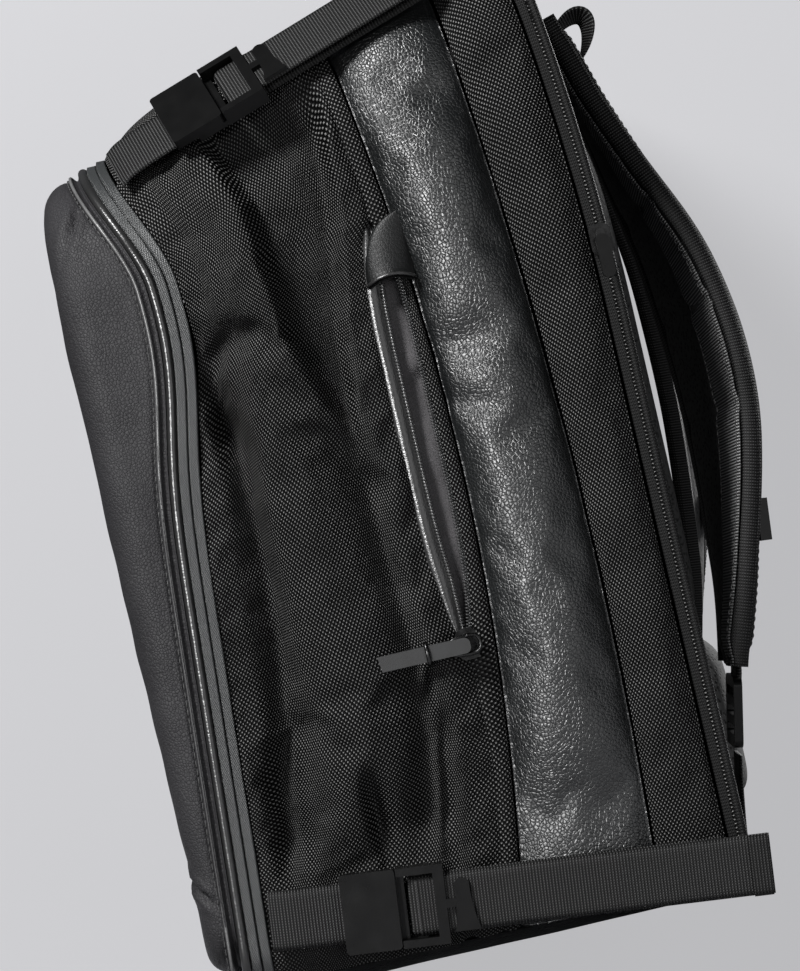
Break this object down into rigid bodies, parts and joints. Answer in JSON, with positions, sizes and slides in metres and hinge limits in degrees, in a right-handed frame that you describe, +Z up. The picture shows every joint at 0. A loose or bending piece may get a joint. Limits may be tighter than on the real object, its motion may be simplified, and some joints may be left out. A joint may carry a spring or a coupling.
{
  "type": "travel backpack",
  "caption": "Black nylon backpack with a stitched leather front cover, leather side bands, zips, flat-buckle compression straps, padded shoulder straps and a haul handle.",
  "frame": {"origin": "middle of the flat base, on the plane it stands on", "axes": "+Z up, -Y out of the front cover, +Y towards the wearer's back, +X the wearer's right side"},
  "size_m": [0.3128, 0.2835, 0.4589],
  "materials": {
    "nylon": "black ballistic nylon basket weave, slight sheen",
    "pebbled_leather": "black pebbled leather, satin",
    "cover_leather": "charcoal fine-grain leather, matte",
    "webbing": "black ribbed webbing",
    "zip_tape": "charcoal coated zip tape and coil",
    "buckle_plastic": "matte black moulded plastic with bright bevels",
    "black_nickel": "black nickel",
    "pull_rubber": "matte grey rubber",
    "spacer_mesh": "black spacer mesh over foam",
    "lining": "brushed charcoal lining",
    "stiffener": "plastic stiffener sheet"
  },
  "bodies": {
    "bag": {"back_pad_left": "spacer_mesh", "back_pad_right": "spacer_mesh", "back_panel": "nylon", "base_board": "stiffener", "base_panel": "pebbled_leather", "frame_sheet": "stiffener", "hang_loop": "webbing", "laptop_divider": "lining", "leather_band_left": "pebbled_leather", "leather_band_right": "pebbled_leather", "leather_band_top": "pebbled_leather", "lower_buckle_tongue_left": "buckle_plastic", "lower_buckle_tongue_right": "buckle_plastic", "lower_rear_webbing_left": "webbing", "lower_rear_webbing_right": "webbing", "lower_webbing_left": "webbing", "lower_webbing_right": "webbing", "lumbar_pad": "spacer_mesh", "main_side_left": "nylon", "main_side_right": "nylon", "main_top": "nylon", "main_zip_tape": "zip_tape", "rear_side_left": "nylon", "rear_side_right": "nylon", "rear_top": "nylon", "rear_zip_tape": "zip_tape", "side_pocket_lining": "lining", "side_zip_garage": "pebbled_leather", "side_zip_tape_front": "zip_tape", "side_zip_tape_rear": "zip_tape", "strap_yoke": "nylon", "upper_buckle_tongue_left": "buckle_plastic", "upper_buckle_tongue_right": "buckle_plastic", "upper_rear_webbing_left": "webbing", "upper_rear_webbing_right": "webbing"},
    "cover": {"front_cover": "cover_leather", "cover_piping": "pebbled_leather", "cover_zip_tape": "zip_tape"},
    "upper_buckle_right": {"upper_front_webbing_right": "webbing", "upper_buckle_plate_right": "buckle_plastic"},
    "upper_buckle_left": {"upper_front_webbing_left": "webbing", "upper_buckle_plate_left": "buckle_plastic"},
    "lower_buckle_right": {"lower_front_webbing_right": "webbing", "lower_buckle_plate_right": "buckle_plastic"},
    "lower_buckle_left": {"lower_front_webbing_left": "webbing", "lower_buckle_plate_left": "buckle_plastic"},
    "side_slider": {"side_zip_slider": "black_nickel"},
    "side_pull": {"side_zip_pull": "pull_rubber"},
    "rear_slider": {"rear_zip_slider": "black_nickel"},
    "rear_pull": {"rear_zip_pull": "pull_rubber"},
    "main_slider": {"main_zip_slider": "black_nickel"},
    "main_pull": {"main_zip_pull": "pull_rubber"},
    "shoulder_right": {"shoulder_strap_right": "spacer_mesh", "ladder_lock_right": "buckle_plastic", "sternum_slide_right": "buckle_plastic"},
    "shoulder_left": {"shoulder_strap_left": "spacer_mesh", "ladder_lock_left": "buckle_plastic", "sternum_slide_left": "buckle_plastic"},
    "handle": {"haul_handle": "pebbled_leather"}
  },
  "joints": [
    {"name": "cover_hinge", "type": "hinge", "parent": "bag", "child": "cover", "pos_m": [0, -0.112, 0.014], "axis": [1, 0, 0], "range_deg": [0, 88]},
    {"name": "upper_buckle_right_lift", "type": "hinge", "parent": "bag", "child": "upper_buckle_right", "pos_m": [0.13323, -0.07929, 0.35611], "axis": [0.7071, 0.2216, -0.6715], "range_deg": [0, 110]},
    {"name": "upper_buckle_left_lift", "type": "hinge", "parent": "bag", "child": "upper_buckle_left", "pos_m": [-0.13323, -0.07929, 0.35611], "axis": [0.7071, -0.2216, 0.6715], "range_deg": [0, 110]},
    {"name": "lower_buckle_right_lift", "type": "hinge", "parent": "bag", "child": "lower_buckle_right", "pos_m": [0.1495, -0.08501, 0.0349], "axis": [0, -0.1045, -0.9945], "range_deg": [0, 110]},
    {"name": "lower_buckle_left_lift", "type": "hinge", "parent": "bag", "child": "lower_buckle_left", "pos_m": [-0.1495, -0.08501, 0.0349], "axis": [0, 0.1045, 0.9945], "range_deg": [0, 110]},
    {"name": "side_zip_slide", "type": "slide", "parent": "bag", "child": "side_slider", "axis": [0, 0, 1], "range_m": [0, 0.146]},
    {"name": "side_pull_swing", "type": "hinge", "parent": "side_slider", "child": "side_pull", "pos_m": [0.1531, 0.016, 0.129], "axis": [1, 0, 0], "range_deg": [-90, 90]},
    {"name": "rear_zip_slide", "type": "slide", "parent": "bag", "child": "rear_slider", "axis": [0, 0, 1], "range_m": [-0.16, 0.06]},
    {"name": "rear_pull_swing", "type": "hinge", "parent": "rear_slider", "child": "rear_pull", "pos_m": [0.1504, 0.107, 0.279], "axis": [1, 0, 0], "range_deg": [-90, 90]},
    {"name": "main_zip_slide", "type": "slide", "parent": "bag", "child": "main_slider", "axis": [1, 0, 0], "range_m": [0, 0.152]},
    {"name": "main_pull_flip", "type": "hinge", "parent": "main_slider", "child": "main_pull", "pos_m": [-0.076, -0.09257, 0.37052], "axis": [0, -1, 0], "range_deg": [0, 170]},
    {"name": "shoulder_right_swing", "type": "hinge", "parent": "bag", "child": "shoulder_right", "pos_m": [0, 0.108, 0.384], "axis": [1, 0, 0], "range_deg": [0, 25]},
    {"name": "shoulder_left_swing", "type": "hinge", "parent": "bag", "child": "shoulder_left", "pos_m": [0, 0.108, 0.384], "axis": [1, 0, 0], "range_deg": [0, 25]},
    {"name": "handle_flip", "type": "hinge", "parent": "bag", "child": "handle", "pos_m": [0, 0.08612, 0.43074], "axis": [1, 0, 0], "range_deg": [-60, 80]}
  ]
}
